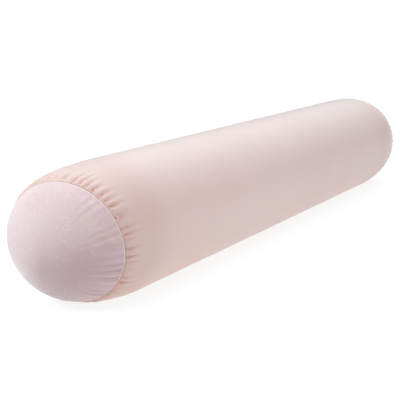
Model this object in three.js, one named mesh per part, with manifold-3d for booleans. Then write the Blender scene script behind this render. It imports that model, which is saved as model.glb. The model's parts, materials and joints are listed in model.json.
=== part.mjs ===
// Bolster pillow: a long bead-filled tube lying on its side, with domed plush ends.
//
// A stretch-knit tube is gathered at each end onto a round plush panel. A closed coil zip on the back of the
// tube lets the cover come off. Inside, a closely woven liner holds the loose beads. The pillow settles on a
// flat along its underside.
//
// Millimetres. +X runs along the tube, +Y to the back, +Z up. The origin is under the middle, on the surface
// that the pillow lies on.
import * as THREE from "three";
import { mergeVertices } from "three/addons/utils/BufferGeometryUtils.js";
import Module from "manifold-3d";

const wasm = await Module();
wasm.setup();

// Driving dimensions.
const pillow = {
  length: 1200, // over both domed ends
  diameter: 200,
  restFlat: 8, // how far the underside is pressed up into the round
  endPanelDiameter: 170, // at the seam
  endCrown: 65, // how far each end panel domes out of its seam
  shoulder: 100, // along the axis, from the seam to the full diameter
};
const cloth = {
  knit: 1.2, // stretch knit of the tube
  plush: 3, // backing and pile of the end panels
  lining: 0.6,
  tape: 1.6, // turned-in edges and the elastic sewn over them
  tapeWidth: 8,
};
const zip = {
  chain: 560, // between the stops
  angle: 30, // up the back of the tube from its mid-height, in degrees
  tapeWidth: 13,
  tapeThickness: 0.6,
  coilWidth: 2.4,
  coilHeight: 2.2,
  slot: 1.6, // between the two coils, where the slider's web passes
  overhang: 0.9, // how far a coil reaches past the edge of its tape
  stopLength: 3,
  jaw: 0.7, // wall of a stop under the tape
  tail: 12, // tape past each stop
};
const slider = {
  length: 11,
  plate: 1,
  flange: 0.9,
  flare: 0.7, // how much wider the mouth is on each side
  corner: 1,
  web: 0.8,
  webLength: 4.5,
  bridgeLength: 7.2,
  bridgeWidth: 2.4,
  bridgeWall: 1.2,
};
const pull = {
  length: 28,
  width: 7.5,
  neckWidth: 5.6,
  thickness: 1.2,
  gripHole: 3.2, // diameter
  restTilt: 3, // degrees, so that its tip lies on the coils
};
const label = { width: 26, drop: 28, thickness: 0.4 };
const gap = { seam: 0.3, layer: 0.4, zip: 0.4, hem: 0.6 };
const facets = { round: 48, arc: 6, small: 5 };

// Worked out from them.
const radius = pillow.diameter / 2;
const axisHeight = radius - pillow.restFlat;
const seamRadius = pillow.endPanelDiameter / 2;
const seamX = pillow.length / 2 - pillow.endCrown;
const tapeInset = cloth.knit + gap.layer;

// Distances from the tube's axis, through the zip.
const tapeOuter = radius - tapeInset;
const tapeInner = tapeOuter - zip.tapeThickness;
const coilBase = tapeOuter + gap.seam;
const coilTop = coilBase + zip.coilHeight;
const upperPlate = coilTop + gap.zip;
const upperPlateTop = upperPlate + slider.plate;
const lowerPlateTop = tapeInner - gap.zip;
const lowerPlate = lowerPlateTop - slider.plate;
const coilEdge = zip.slot / 2 + zip.coilWidth;
const stopWeb = zip.slot / 2 + zip.overhang - gap.zip;
const stopFoot = lowerPlateTop - zip.jaw;
const sliderHalfWidth = coilEdge + gap.zip + slider.flange;
const slitHalfWidth = sliderHalfWidth + slider.flare + gap.hem;
const stopX = zip.chain / 2;
const tapeEndX = stopX + gap.seam + zip.stopLength + zip.tail;
const slitEndX = tapeEndX - zip.tail / 2;
const sliderX = stopX - slider.length / 2 - gap.zip;

// The pull's bar turns inside the bridge on this line.
const barReach = pull.thickness * Math.SQRT1_2 + gap.layer;
const pullAxis = upperPlateTop + barReach;
const bridgeInside = pullAxis + barReach;
const bridgeTop = bridgeInside + slider.bridgeWall;

// The inner pillow clears whichever reaches further in, the slider or the gathered edges.
const innerInset = Math.max(radius - lowerPlate, tapeInset + cloth.tape) + gap.layer;
const innerFloor = cloth.knit + gap.layer;

const colours = {
  knit: new THREE.MeshStandardMaterial({ color: 0xe6cdc9, roughness: 0.5 }),
  plush: new THREE.MeshStandardMaterial({ color: 0xe4cdd0, roughness: 0.95 }),
  elastic: new THREE.MeshStandardMaterial({ color: 0xf1e9e6, roughness: 0.8 }),
  zipTape: new THREE.MeshStandardMaterial({ color: 0xdfc3be, roughness: 0.85 }),
  coil: new THREE.MeshStandardMaterial({ color: 0xdcbfba, roughness: 0.35 }),
  metal: new THREE.MeshStandardMaterial({ color: 0xb9b6b4, roughness: 0.3, metalness: 1 }),
  satin: new THREE.MeshStandardMaterial({ color: 0xf6f3ef, roughness: 0.45 }),
  lining: new THREE.MeshStandardMaterial({ color: 0xf2efec, roughness: 0.7 }),
  beads: new THREE.MeshStandardMaterial({ color: 0xfafafa, roughness: 0.6 }),
};

// A three.js geometry as a solid, and back.
function solidFrom(geometry) {
  const bare = new THREE.BufferGeometry().setAttribute("position", geometry.getAttribute("position"));
  if (geometry.index) bare.setIndex(geometry.index);
  const merged = mergeVertices(bare, 1e-3);
  return new wasm.Manifold(
    new wasm.Mesh({
      numProp: 3,
      vertProperties: new Float32Array(merged.attributes.position.array),
      triVerts: new Uint32Array(merged.index.array),
    }),
  );
}

function geometryFrom(solid) {
  const mesh = solid.getMesh();
  return new THREE.BufferGeometry()
    .setAttribute("position", new THREE.BufferAttribute(mesh.vertProperties, 3))
    .setIndex(new THREE.BufferAttribute(mesh.triVerts, 1));
}

function block(low, high) {
  const size = high.map((value, i) => value - low[i]);
  const middle = high.map((value, i) => (value + low[i]) / 2);
  return solidFrom(new THREE.BoxGeometry(...size).translate(...middle));
}

function addMesh(group, name, solid, material) {
  const mesh = new THREE.Mesh(geometryFrom(solid), material);
  mesh.name = name;
  group.add(mesh);
}

// Half of the pillow's outline, from the middle of one dome to the middle of the tube, as radius against
// distance along the axis. The dome is a quarter ellipse down to the seam. The shoulder is another, which
// leaves the seam square to the axis and meets the tube along it. An inset moves every wall in.
function halfOutline(inset) {
  const seam = { x: seamX - inset, r: seamRadius - inset };
  const points = [];
  for (let i = 0; i <= facets.arc; i++) {
    const turn = ((i / facets.arc) * Math.PI) / 2;
    points.push([seam.r * Math.sin(turn), -seam.x - pillow.endCrown * Math.cos(turn)]);
  }
  for (let i = 1; i <= facets.arc; i++) {
    const turn = ((i / facets.arc) * Math.PI) / 2;
    points.push([
      seam.r + (radius - seamRadius) * Math.sin(turn),
      -seam.x + pillow.shoulder * (1 - Math.cos(turn)),
    ]);
  }
  return points;
}

// The whole pillow as a solid, with its walls moved in by inset and its underside flat at floor.
function pillowBody(inset, floor = inset) {
  const half = halfOutline(inset);
  const other = half.map(([r, x]) => [r, -x]).reverse();
  const outline = [...half, ...other].map(([r, x]) => new THREE.Vector2(r < 1e-9 ? 0 : r, x));
  const round = new THREE.LatheGeometry(outline, facets.round).rotateZ(-Math.PI / 2);
  const lying = solidFrom(round.translate(0, 0, axisHeight));
  const reach = pillow.length;
  return lying.intersect(block([-reach, -reach, floor], [reach, reach, reach]));
}

// What is left of a solid between two places along the axis.
function between(solid, from, to) {
  const reach = pillow.length;
  return solid.intersect(block([from, -reach, -reach], [to, reach, reach]));
}

// A shape drawn across the tube, in y and z, carried along it.
function alongTube(shape, from, to) {
  const geometry = new THREE.ExtrudeGeometry(shape, {
    depth: to - from,
    bevelEnabled: false,
    curveSegments: facets.small,
  });
  const across = new THREE.Matrix4().makeBasis(
    new THREE.Vector3(0, 1, 0),
    new THREE.Vector3(0, 0, 1),
    new THREE.Vector3(1, 0, 0),
  );
  return solidFrom(geometry.applyMatrix4(across).translate(from, 0, 0));
}

function polygon(points) {
  return new THREE.Shape(points.map(([a, b]) => new THREE.Vector2(a, b)));
}

// A curved strip, concentric with the tube: the arc lengths are measured from the zip's line.
function curvedStrip(inner, outer, fromArc, toArc, fromX, toX) {
  const shape = new THREE.Shape();
  const start = fromArc / outer;
  const end = toArc / outer;
  shape.absarc(0, 0, outer, start, end, false);
  shape.absarc(0, 0, inner, end, start, true);
  return alongTube(shape, fromX, toX);
}

// A stop clamped on the edge of one tape: a jaw above the tape and one below, joined past the tape's edge.
function stopClamp(side, from, to) {
  const web = zip.slot / 2;
  const section = [
    [stopFoot, side * web],
    [coilTop, side * web],
    [coilTop, side * coilEdge],
    [tapeOuter + gap.zip, side * coilEdge],
    [tapeOuter + gap.zip, side * stopWeb],
    [lowerPlateTop, side * stopWeb],
    [lowerPlateTop, side * coilEdge],
    [stopFoot, side * coilEdge],
  ];
  return alongTube(polygon(section), from, to);
}

// One plate of the slider, seen from outside: square at the back and wider at the mouth.
function sliderPlate(fromY, toY) {
  const half = slider.length / 2;
  const mouth = sliderHalfWidth + slider.flare;
  const corner = slider.corner;
  const outline = polygon([
    [-half, -sliderHalfWidth + corner],
    [-half + corner, -sliderHalfWidth],
    [0, -sliderHalfWidth],
    [half - corner, -mouth],
    [half, -mouth + corner],
    [half, mouth - corner],
    [half - corner, mouth],
    [0, sliderHalfWidth],
    [-half + corner, sliderHalfWidth],
    [-half, sliderHalfWidth - corner],
  ]);
  const plate = new THREE.ExtrudeGeometry(outline, { depth: toY - fromY, bevelEnabled: false });
  return solidFrom(plate.rotateX(Math.PI / 2).translate(0, toY, 0));
}

function sliderSolid() {
  const half = slider.length / 2;
  const flangeIn = coilEdge + gap.zip;
  const overlap = slider.plate / 2;
  let solid = sliderPlate(upperPlate, upperPlateTop);
  solid = solid.add(sliderPlate(lowerPlate, lowerPlateTop));
  const webEnd = half - slider.plate;
  solid = solid.add(
    block(
      [webEnd - slider.webLength, lowerPlateTop - overlap, -slider.web / 2],
      [webEnd, upperPlate + overlap, slider.web / 2],
    ),
  );
  for (const side of [-1, 1]) {
    const walls = [side * flangeIn, side * sliderHalfWidth].sort((a, b) => a - b);
    solid = solid.add(
      block([-half + slider.plate, tapeOuter + gap.zip, walls[0]], [webEnd, upperPlate + overlap, walls[1]]),
    );
  }
  return solid.add(bridgeSolid());
}

// The arch on the slider's upper plate that holds the pull.
function bridgeSolid() {
  const half = slider.bridgeLength / 2;
  const inside = half - slider.bridgeWall;
  const foot = upperPlateTop - slider.plate / 2;
  const arch = polygon([
    [-half, foot],
    [-inside, foot],
    [-inside, bridgeInside],
    [inside, bridgeInside],
    [inside, foot],
    [half, foot],
    [half, bridgeInside],
    [inside, bridgeTop],
    [-inside, bridgeTop],
    [-half, bridgeInside],
  ].reverse());
  const geometry = new THREE.ExtrudeGeometry(arch, { depth: slider.bridgeWidth, bevelEnabled: false });
  return solidFrom(geometry.translate(0, 0, -slider.bridgeWidth / 2));
}

// The pull, drawn about its own bar and reaching away along -X.
function pullSolid() {
  const bar = pull.thickness / 2;
  const neck = pull.neckWidth / 2;
  const half = pull.width / 2;
  const eyeHalf = slider.bridgeWidth / 2 + gap.layer;
  const eyeEnd = Math.hypot(slider.bridgeLength / 2, bridgeTop - pullAxis) + gap.layer;
  const shoulder = eyeEnd + half;
  const outline = new THREE.Shape();
  outline.moveTo(bar, -neck);
  outline.lineTo(bar, neck);
  outline.lineTo(-eyeEnd, neck);
  outline.lineTo(-shoulder, half);
  outline.absarc(-pull.length + half, 0, half, Math.PI / 2, (3 * Math.PI) / 2, false);
  outline.lineTo(-shoulder, -half);
  outline.lineTo(-eyeEnd, -neck);
  const reach = pull.thickness;
  const geometry = new THREE.ExtrudeGeometry(outline, {
    depth: pull.thickness,
    bevelEnabled: false,
    curveSegments: facets.small * 2,
  });
  const plate = solidFrom(geometry.rotateX(Math.PI / 2).translate(0, pull.thickness / 2, 0));
  const eye = block([-eyeEnd, -reach, -eyeHalf], [-bar, reach, eyeHalf]);
  const hole = new THREE.CylinderGeometry(pull.gripHole / 2, pull.gripHole / 2, 2 * reach, facets.round / 2);
  return plate.subtract(eye).subtract(solidFrom(hole.translate(-pull.length + half, 0, 0)));
}

// The cover: a tube with a slit for the zip, and a domed panel at each end.
function addCover(part) {
  const outside = pillowBody(0);
  const slit = solidFrom(
    new THREE.BoxGeometry(2 * slitEndX, radius, 2 * slitHalfWidth)
      .translate(0, radius, 0)
      .rotateX(THREE.MathUtils.degToRad(zip.angle))
      .translate(0, 0, axisHeight),
  );
  const tubeEnd = seamX - gap.seam / 2;
  const tube = between(outside.subtract(pillowBody(cloth.knit)), -tubeEnd, tubeEnd).subtract(slit);
  addMesh(part, "cover_tube", tube, colours.knit);

  const ends = outside.subtract(pillowBody(cloth.plush));
  const panelEnd = seamX + gap.seam / 2;
  addMesh(part, "front_end_panel", between(ends, -pillow.length, -panelEnd), colours.plush);
  addMesh(part, "rear_end_panel", between(ends, panelEnd, pillow.length), colours.plush);

  // The gathered edges, turned in and taped, lie against the inside of each shoulder.
  const turnedIn = pillowBody(tapeInset).subtract(pillowBody(tapeInset + cloth.tape));
  const outer = seamX - tapeInset - gap.layer;
  const inner = outer - cloth.tapeWidth;
  addMesh(part, "front_gathering_tape", between(turnedIn, -outer, -inner), colours.elastic);
  addMesh(part, "rear_gathering_tape", between(turnedIn, inner, outer), colours.elastic);
}

// The zip, in a frame turned so that its Y points straight out of the tube through the zip.
function addZip(part) {
  const frame = new THREE.Group();
  frame.position.z = axisHeight;
  frame.rotation.x = THREE.MathUtils.degToRad(zip.angle);
  part.add(frame);

  const tapeIn = zip.slot / 2 + zip.overhang;
  const tapeOut = tapeIn + zip.tapeWidth;
  const coilMiddle = zip.slot / 2 + zip.coilWidth / 2;
  for (const [place, side] of [["upper", 1], ["lower", -1]]) {
    const edges = [side * tapeIn, side * tapeOut].sort((a, b) => a - b);
    const tape = curvedStrip(tapeInner, tapeOuter, edges[0], edges[1], -tapeEndX, tapeEndX);
    addMesh(frame, `zip_tape_${place}`, tape, colours.zipTape);

    const section = new THREE.Shape();
    const height = coilBase + zip.coilHeight / 2;
    section.absellipse(height, side * coilMiddle, zip.coilHeight / 2, zip.coilWidth / 2, 0, 2 * Math.PI);
    addMesh(frame, `zip_coil_${place}`, alongTube(section, -stopX, stopX), colours.coil);

    const topStop = stopClamp(side, stopX + gap.seam, stopX + gap.seam + zip.stopLength);
    addMesh(frame, `zip_top_stop_${place}`, topStop, colours.metal);
  }

  // The bottom stop clamps both tapes, and joins them across the slot.
  const bottomTo = -stopX - gap.seam;
  const bottomFrom = bottomTo - zip.stopLength;
  const bottomStop = block([bottomFrom, stopFoot, -stopWeb], [bottomTo, coilTop, stopWeb])
    .add(stopClamp(1, bottomFrom, bottomTo))
    .add(stopClamp(-1, bottomFrom, bottomTo));
  addMesh(frame, "zip_bottom_stop", bottomStop, colours.metal);

  const moving = new THREE.Group();
  moving.position.x = sliderX;
  frame.add(moving);
  addMesh(moving, "zip_slider", sliderSolid(), colours.metal);

  const swinging = new THREE.Group();
  swinging.position.y = pullAxis;
  swinging.rotation.z = THREE.MathUtils.degToRad(pull.restTilt);
  moving.add(swinging);
  addMesh(swinging, "zip_pull_tab", pullSolid(), colours.metal);

  // A care label hangs from the closing seam, past the zip's open end.
  const labelEnd = -tapeEndX - gap.layer;
  const tag = curvedStrip(
    radius + gap.layer,
    radius + gap.layer + label.thickness,
    -label.drop,
    0,
    labelEnd - label.width,
    labelEnd,
  );
  addMesh(frame, "care_label", tag, colours.satin);
}

// The inner pillow: a liner of a tube and two round panels, and the beads that fill it.
function addInnerPillow(part) {
  const liner = pillowBody(innerInset, innerFloor).subtract(
    pillowBody(innerInset + cloth.lining, innerFloor + cloth.lining),
  );
  const cut = seamX - innerInset;
  const inside = cut - gap.seam / 2;
  const outside = cut + gap.seam / 2;
  addMesh(part, "liner_tube", between(liner, -inside, inside), colours.lining);
  addMesh(part, "liner_front_panel", between(liner, -pillow.length, -outside), colours.lining);
  addMesh(part, "liner_rear_panel", between(liner, outside, pillow.length), colours.lining);

  const within = cloth.lining + gap.layer;
  addMesh(part, "bead_fill", pillowBody(innerInset + within, innerFloor + within), colours.beads);
}

const bolster = new THREE.Group();
addCover(bolster);
addZip(bolster);
addInnerPillow(bolster);

export default bolster;
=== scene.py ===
import json
import bmesh
import bpy
import numpy as np
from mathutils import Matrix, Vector


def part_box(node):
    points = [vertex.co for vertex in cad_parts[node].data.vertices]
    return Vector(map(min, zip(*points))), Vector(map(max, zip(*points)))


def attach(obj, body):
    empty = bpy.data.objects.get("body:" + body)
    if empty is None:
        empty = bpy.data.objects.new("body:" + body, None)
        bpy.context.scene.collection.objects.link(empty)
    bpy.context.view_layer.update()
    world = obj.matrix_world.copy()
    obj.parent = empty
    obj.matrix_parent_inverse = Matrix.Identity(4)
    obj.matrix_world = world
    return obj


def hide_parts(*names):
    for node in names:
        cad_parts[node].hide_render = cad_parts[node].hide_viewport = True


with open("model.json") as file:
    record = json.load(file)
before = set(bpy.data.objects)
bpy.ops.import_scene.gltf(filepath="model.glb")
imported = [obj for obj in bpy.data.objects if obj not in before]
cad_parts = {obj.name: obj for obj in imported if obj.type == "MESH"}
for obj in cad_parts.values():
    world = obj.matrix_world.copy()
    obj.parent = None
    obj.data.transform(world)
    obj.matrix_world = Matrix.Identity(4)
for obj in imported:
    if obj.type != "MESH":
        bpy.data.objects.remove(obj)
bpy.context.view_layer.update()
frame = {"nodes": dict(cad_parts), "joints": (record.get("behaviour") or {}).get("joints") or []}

# A long bolster pillow: a satin stretch-knit tube gathered onto a plush panel at each end, filled with foam
# beads. Metres. +X runs along the tube, +Y to the back, where the zip is, and +Z up.

mm = 0.001
turn = 2 * np.pi
nodes = frame["nodes"]

# The frame's own sizes.
tubeLow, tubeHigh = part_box("cover_tube")
panelLow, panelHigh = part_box("front_end_panel")
radius = (tubeHigh.y - tubeLow.y) / 2
axisHeight = tubeHigh.z - radius
halfLength = -panelLow.x
seamX = (tubeHigh.x - panelHigh.x) / 2
seamRadius = (panelHigh.y - panelLow.y) / 2
crown = halfLength - seamX
linerInset = tubeHigh.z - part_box("liner_tube")[1].z
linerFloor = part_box("liner_tube")[0].z
fillInset = tubeHigh.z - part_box("bead_fill")[1].z
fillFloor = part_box("bead_fill")[0].z

# The zip's own directions: outward through it, and across it.
swing = next(joint for joint in frame["joints"] if joint["name"] == "pull_swing")
zipOut = np.array([0.0, -swing["axis"][2], swing["axis"][1]])
zipAcross = np.array([0.0, -zipOut[2], zipOut[1]])
zipAngle = np.arctan2(zipOut[2], zipOut[1])


# A CAD node's span: along the tube, outward from the tube's axis, and across the zip.
def zipSpan(name):
    mesh = nodes[name].data
    flat = np.empty(len(mesh.vertices) * 3, np.float32)
    mesh.vertices.foreach_get("co", flat)
    points = flat.reshape(-1, 3).astype(float) - [0, 0, axisHeight]
    local = np.stack([points[:, 0], points @ zipOut, points @ zipAcross], 1)
    return local.min(0), local.max(0)


# Meshes from arrays of points. The faces are a list of arrays, each with its own number of corners.
def makePiece(name, points, faces, material):
    mesh = bpy.data.meshes.new(name)
    corners = [face for group in faces for face in group.tolist()]
    mesh.from_pydata(points.reshape(-1, 3).tolist(), [], corners)
    mesh.polygons.foreach_set("use_smooth", np.full(len(mesh.polygons), True))
    mesh.materials.append(material)
    mesh.update()
    piece = bpy.data.objects.new(name, mesh)
    bpy.context.scene.collection.objects.link(piece)
    return piece


# Rides on its body and stands for its CAD nodes, which it hides. The material slot is not used.
def placePiece(piece, slot, *replaced, body="pillow"):
    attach(piece, body)
    if replaced:
        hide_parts(*replaced)
    return piece


# Four-cornered faces of a grid that closes on itself around, and along if asked.
def gridFaces(rows, columns, closedAlong=False):
    index = np.arange(rows * columns).reshape(rows, columns)
    if closedAlong:
        index = np.concatenate([index, index[:1]])
    index = np.concatenate([index, index[:, :1]], 1)
    corners = [index[:-1, :-1], index[:-1, 1:], index[1:, 1:], index[1:, :-1]]
    return np.stack(corners, 2).reshape(-1, 4)


# Closes a grid's last ring, or its first, with a fan to one more point.
def poleFaces(rows, columns, pole, atStart=False):
    ring = np.arange(columns) + (0 if atStart else (rows - 1) * columns)
    fan = np.stack([ring, np.roll(ring, -1), np.full(columns, pole)], 1)
    return fan[:, ::-1] if atStart else fan


# A dome's points and faces, from its grid and the point at its middle. They face outward at either end.
def closeDome(points, pole, side):
    rows, columns = points.shape[:2]
    faces = [gridFaces(rows, columns), poleFaces(rows, columns, rows * columns)]
    if side < 0:
        faces = [group[:, ::-1] for group in faces]
    return np.concatenate([points.reshape(-1, 3), [pole]]), faces


def setFloats(piece, name, values):
    attribute = piece.data.attributes.new(name, "FLOAT", "POINT")
    attribute.data.foreach_set("value", np.ascontiguousarray(values, np.float32).reshape(-1))


# Gives an open sheet its thickness, inward from the surface that was worked out.
def giveWall(piece, wall):
    solidify = piece.modifiers.new("wall", "SOLIDIFY")
    solidify.thickness = wall
    solidify.offset = -1
    solidify.use_rim = True


# Takes out the points that no face uses, which the zip's opening leaves behind.
def dropLoosePoints(piece):
    sheet = bmesh.new()
    sheet.from_mesh(piece.data)
    bmesh.ops.delete(sheet, geom=[point for point in sheet.verts if not point.link_faces], context="VERTS")
    sheet.to_mesh(piece.data)
    sheet.free()


# Rises from 0 to 1 with level ends, as three squares less two cubes.
def smoothStep(value):
    t = np.clip(value, 0, 1)
    return t * t * (3 - 2 * t)


# A bell curve, 1 in the middle: e to minus the square.
def bump(value, width):
    return np.exp(-((value / width) ** 2))


pillowShape = {
    "shoulder": 100 * mm,  # along the axis, from the seam to the full radius
    "domePower": 1.594,  # 2 is an ellipse, and less is more pointed
    "frontSag": 0.1265,  # how far each end's tip droops, as a share of the radius
    "rearSag": 0.0589,
    "leanDown": 0.1421,  # how far the front end leans, along the axis for each metre up
    "leanBack": 0.161,  # and for each metre back
    "leanReach": 1.6,  # in radii, from the pillow's end to where the lean starts
    "floorBlend": 7 * mm,  # rounding where the underside leaves the floor
    "innerSlack": 1.6 * mm,  # how much slimmer the inner pillow is inside the gathered ends
    "slackFrom": 110 * mm,  # from the seam to where it starts to be slimmer
    "slackFade": 50 * mm,
    "poleStep": 0.4,  # how far a dome's middle point stands past its last ring, in steps between rings
    "lastRing": 0.985,  # where the last ring is, as a share of the cloth from the seam to the middle
    "fineCloth": 120 * mm,  # length of the inner pillow's cloth, from the seam, with rings close together
    "fineGap": 10 * mm,
}


# Where the beads have settled. Over the last radius of its length each end droops, by the square of how far
# a point lies inside it. The front end leans by a shear that fades in along one radius. The underside is
# pressed flat, with a rounded edge.
def settle(points, floor=0.0):
    s = pillowShape
    x, y, z = points[..., 0], points[..., 1], points[..., 2]
    frontTip = np.clip((-x - (halfLength - radius)) / radius, 0, None)
    rearTip = np.clip((x - (halfLength - radius)) / radius, 0, None)
    z = z - radius * (s["frontSag"] * frontTip**2 + s["rearSag"] * rearTip**2)
    lean = smoothStep((-x - (halfLength - s["leanReach"] * radius)) / radius)
    x = x - lean * (s["leanDown"] * (z - axisHeight) + s["leanBack"] * y)
    above, soft = z - floor, s["floorBlend"]
    pressed = np.where(above > soft, above, np.where(above < -soft, 0.0, (above + soft) ** 2 / (4 * soft)))
    return np.stack([x, y, pressed + floor], -1)


# A quarter ellipse from the seam to the full radius, and straight on: distance from the seam along the axis,
# and radius, at each length of cloth from the seam.
def shoulderProfile(cloth, inset=0.0):
    angle = np.linspace(0, np.pi / 2, 500)
    along = pillowShape["shoulder"] * (1 - np.cos(angle))
    out = seamRadius - inset + (radius - seamRadius) * np.sin(angle)
    along, out = np.append(along, halfLength), np.append(out, out[-1])
    length = np.append(0, np.cumsum(np.hypot(np.diff(along), np.diff(out))))
    return np.interp(cloth, length, along), np.interp(cloth, length, out)


# A superellipse from the seam to the middle of the dome, and its whole length of cloth.
def domeProfile(cloth, inset=0.0):
    power = 2 / pillowShape["domePower"]
    angle = np.linspace(0, np.pi / 2, 900)
    along = crown * np.sin(angle) ** power
    out = (seamRadius - inset) * np.cos(angle) ** power
    length = np.append(0, np.cumsum(np.hypot(np.diff(along), np.diff(out))))
    return np.interp(cloth, length, along), np.interp(cloth, length, out), length[-1]


# Points of a profile turned about the tube's axis, with a column at each angle from the zip's line.
def revolve(x, out, angles):
    x, out = np.asarray(x)[:, None], np.asarray(out)[:, None]
    around = zipAngle + angles
    return np.stack([x + 0 * around, out * np.cos(around), axisHeight + out * np.sin(around)], -1)


def evenAngles(columns):
    return np.arange(columns) * turn / columns


# The unit normal at each point of a grid closed around, from the differences to its neighbours, pointing away
# from the middle of the grid.
def gridNormals(points):
    around = np.roll(points, -1, 1) - np.roll(points, 1, 1)
    along = np.gradient(points, axis=0)
    normal = np.cross(around, along)
    normal /= np.maximum(np.linalg.norm(normal, axis=2, keepdims=True), 1e-12)
    return normal * np.sign((normal * (points - points.mean((0, 1)))).sum())


coverGathers = {
    "columns": 480,
    "reach": 0.072,  # length of cloth simulated, from the seam
    "step": 1.6 * mm,
    "unstretched": 0.965,  # the knit's own girth, as a share of the full tube's
    "puckers": 50,
    "start": 1.2 * mm,  # height of the first ripples
    "keep": 0.78,  # of the relaxed height, because the edge is also eased in as it is sewn
    "atSeam": 0.4,  # what the sewn edge keeps of them
    "fade": 7.5,  # rows
    "alongHold": 0.9,  # how firmly threads along the tube keep their length
    "shear": 0.12,
    "bend": 0.14,
    "bendRest": 0.985,  # of its own length, for a thread that resists bending around the tube
    "press": 0.016 * mm,
    "rounds": 260,
    "widest": 5,  # waves around the tube, and those with fewer are taken out
    "seed": 11,
}
rippleShape = {
    "wander": 1.4,  # how unevenly the waves are spaced, in radians
    "wanderWaves": 13,
    "height": 0.55,
    "uneven": 0.45,  # how much the height varies from one to the next
    "heightWaves": 17,
    "drift": 1.1,  # how far they move sideways along the grid, in radians
    "driftWaves": 3,
}
noFade = 1e9


# A sum of slow sines around the tube, each with a random size and start, and smaller the quicker it is.
def slowWaves(rng, around, waves, power):
    return sum(
        rng.normal() / k**power * np.sin(turn * (k * around + rng.random())) for k in range(1, waves + 1)
    )


# Random ripples around a grid: sine waves of about the given count, with their spacing and their height
# changed by sums of slower sines. They drift sideways along the grid, and fade by a factor of e over the
# given number of rows.
def ripples(rows, angles, count, fade, seed):
    r = rippleShape
    rng = np.random.default_rng(seed)
    around = angles / turn
    wander = slowWaves(rng, around, r["wanderWaves"], 0.5)
    strength = r["height"] + r["uneven"] * np.tanh(slowWaves(rng, around, r["heightWaves"], 0.3))
    drift = r["drift"] * np.sin(turn * (r["driftWaves"] * around + rng.random()))
    along = np.arange(rows)[:, None]
    phase = turn * count * around + r["wander"] * wander
    return strength * (np.sin(phase) + np.sin(phase + drift * along / rows)) / 2 * np.exp(-along / fade)


# Cloth on a grid, closed around and held at its first and last rows. In each round the fill presses it out,
# and then each thread between two neighbours is brought back towards its own length: threads around only
# resist being shortened, because a knit stretches, and threads along keep their length. Longer threads, over
# three columns or two rows, resist bending, and crossing ones resist shear.
def relaxCloth(points, first, restAround, restAlong):
    g = coverGathers
    normal = gridNormals(points)
    cloth = points + first[:, :, None] * normal
    rows, columns = cloth.shape[:2]
    free = np.ones((rows, 1, 1))
    free[0] = free[-1] = 0
    order = np.arange(columns)

    def pull(one, other, rest, give, onlyPush, freeOne, freeOther):
        gap = cloth[other] - cloth[one]
        length = np.linalg.norm(gap, axis=2, keepdims=True)
        stretch = length - rest
        if onlyPush:
            stretch = np.minimum(stretch, 0)
        move = gap * (give * stretch / np.maximum(length * (freeOne + freeOther), 1e-9))
        cloth[one] += move * freeOne
        cloth[other] -= move * freeOther

    def pullAround(skip, rest, give):
        for phase in range(skip * 2):
            chosen = order[(order // skip) % 2 == phase // skip]
            chosen = chosen[chosen % skip == phase % skip]
            one = (slice(None), chosen)
            other = (slice(None), (chosen + skip) % columns)
            pull(one, other, rest, give, True, free, free)

    def pullAlong(skip, rest, give, aside=0):
        for phase in range(2 * skip):
            start = np.arange(phase, rows - skip, 2 * skip)
            one = (start[:, None], order[None])
            other = (start[:, None] + skip, (order[None] + aside) % columns)
            pull(one, other, rest[start][:, None, None], give, False, free[start], free[start + skip])

    aroundRest = restAround[:, None, None]
    crossRest = np.hypot((restAround[:-1] + restAround[1:]) / 2, restAlong)
    alongPair = np.append(restAlong[:-1] + restAlong[1:], 0)
    for _ in range(g["rounds"]):
        cloth += normal * g["press"] * free
        pullAround(1, aroundRest, 1.0)
        pullAlong(1, restAlong, g["alongHold"])
        pullAround(3, 3 * aroundRest * g["bendRest"], g["bend"])
        pullAlong(2, alongPair, g["bend"])
        pullAlong(1, crossRest, g["shear"], 1)
        pullAlong(1, crossRest, g["shear"], -1)
        # the fill keeps each row at its own mean distance from the axis, so that spare cloth has to pucker
        out = ((cloth - points) * normal).sum(2, keepdims=True)
        cloth -= normal * out.mean(1, keepdims=True) * free
    return cloth


# How far the relaxed cloth stands off the smooth shape. Waves wider than a fifth of the way round are taken
# out, so that the pillow keeps its own outline.
def gatherHeights():
    g = coverGathers
    rows = int(round(g["reach"] / g["step"])) + 1
    cloth = np.linspace(0, g["reach"], rows)
    angles = evenAngles(g["columns"])
    x, out = shoulderProfile(cloth)
    smooth = revolve(-seamX + x, out, angles)
    first = ripples(rows, angles, g["puckers"], g["fade"], g["seed"]) * g["start"]
    first[0] *= g["atSeam"]
    restAround = np.full(rows, turn * radius * g["unstretched"] / g["columns"])
    relaxed = relaxCloth(smooth, first, restAround, np.diff(cloth))
    height = ((relaxed - smooth) * gridNormals(smooth)).sum(2)
    spectrum = np.fft.rfft(height, axis=1)
    spectrum[:, : g["widest"]] = 0
    return np.fft.irfft(spectrum, n=g["columns"], axis=1) * g["keep"]


# The gathers' heights at other angles from the zip's line, turned around the tube by a shift.
def heightsAt(field, angles, shift=0.0):
    around = np.append(evenAngles(field.shape[1]), turn)
    rows = [np.interp((angles + shift) % turn, around, np.append(row, row[0])) for row in field]
    return np.stack(rows)


# An sRGB hex colour as linear light.
def linear(colour):
    parts = np.array([int(colour[k : k + 2], 16) for k in (1, 3, 5)]) / 255
    parts = np.where(parts <= 0.04045, parts / 12.92, ((parts + 0.055) / 1.055) ** 2.4)
    return (*parts, 1.0)


# Adds a node with its settings, and gives each named input a value, a hex colour or another node's output.
def addNode(tree, kind, inputs=(), **settings):
    node = tree.nodes.new("ShaderNode" + kind)
    for name, value in settings.items():
        setattr(node, name, value)
    for name, value in dict(inputs).items():
        if isinstance(value, bpy.types.NodeSocket):
            tree.links.new(value, node.inputs[name])
        else:
            node.inputs[name].default_value = linear(value) if isinstance(value, str) else value
    return node


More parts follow.
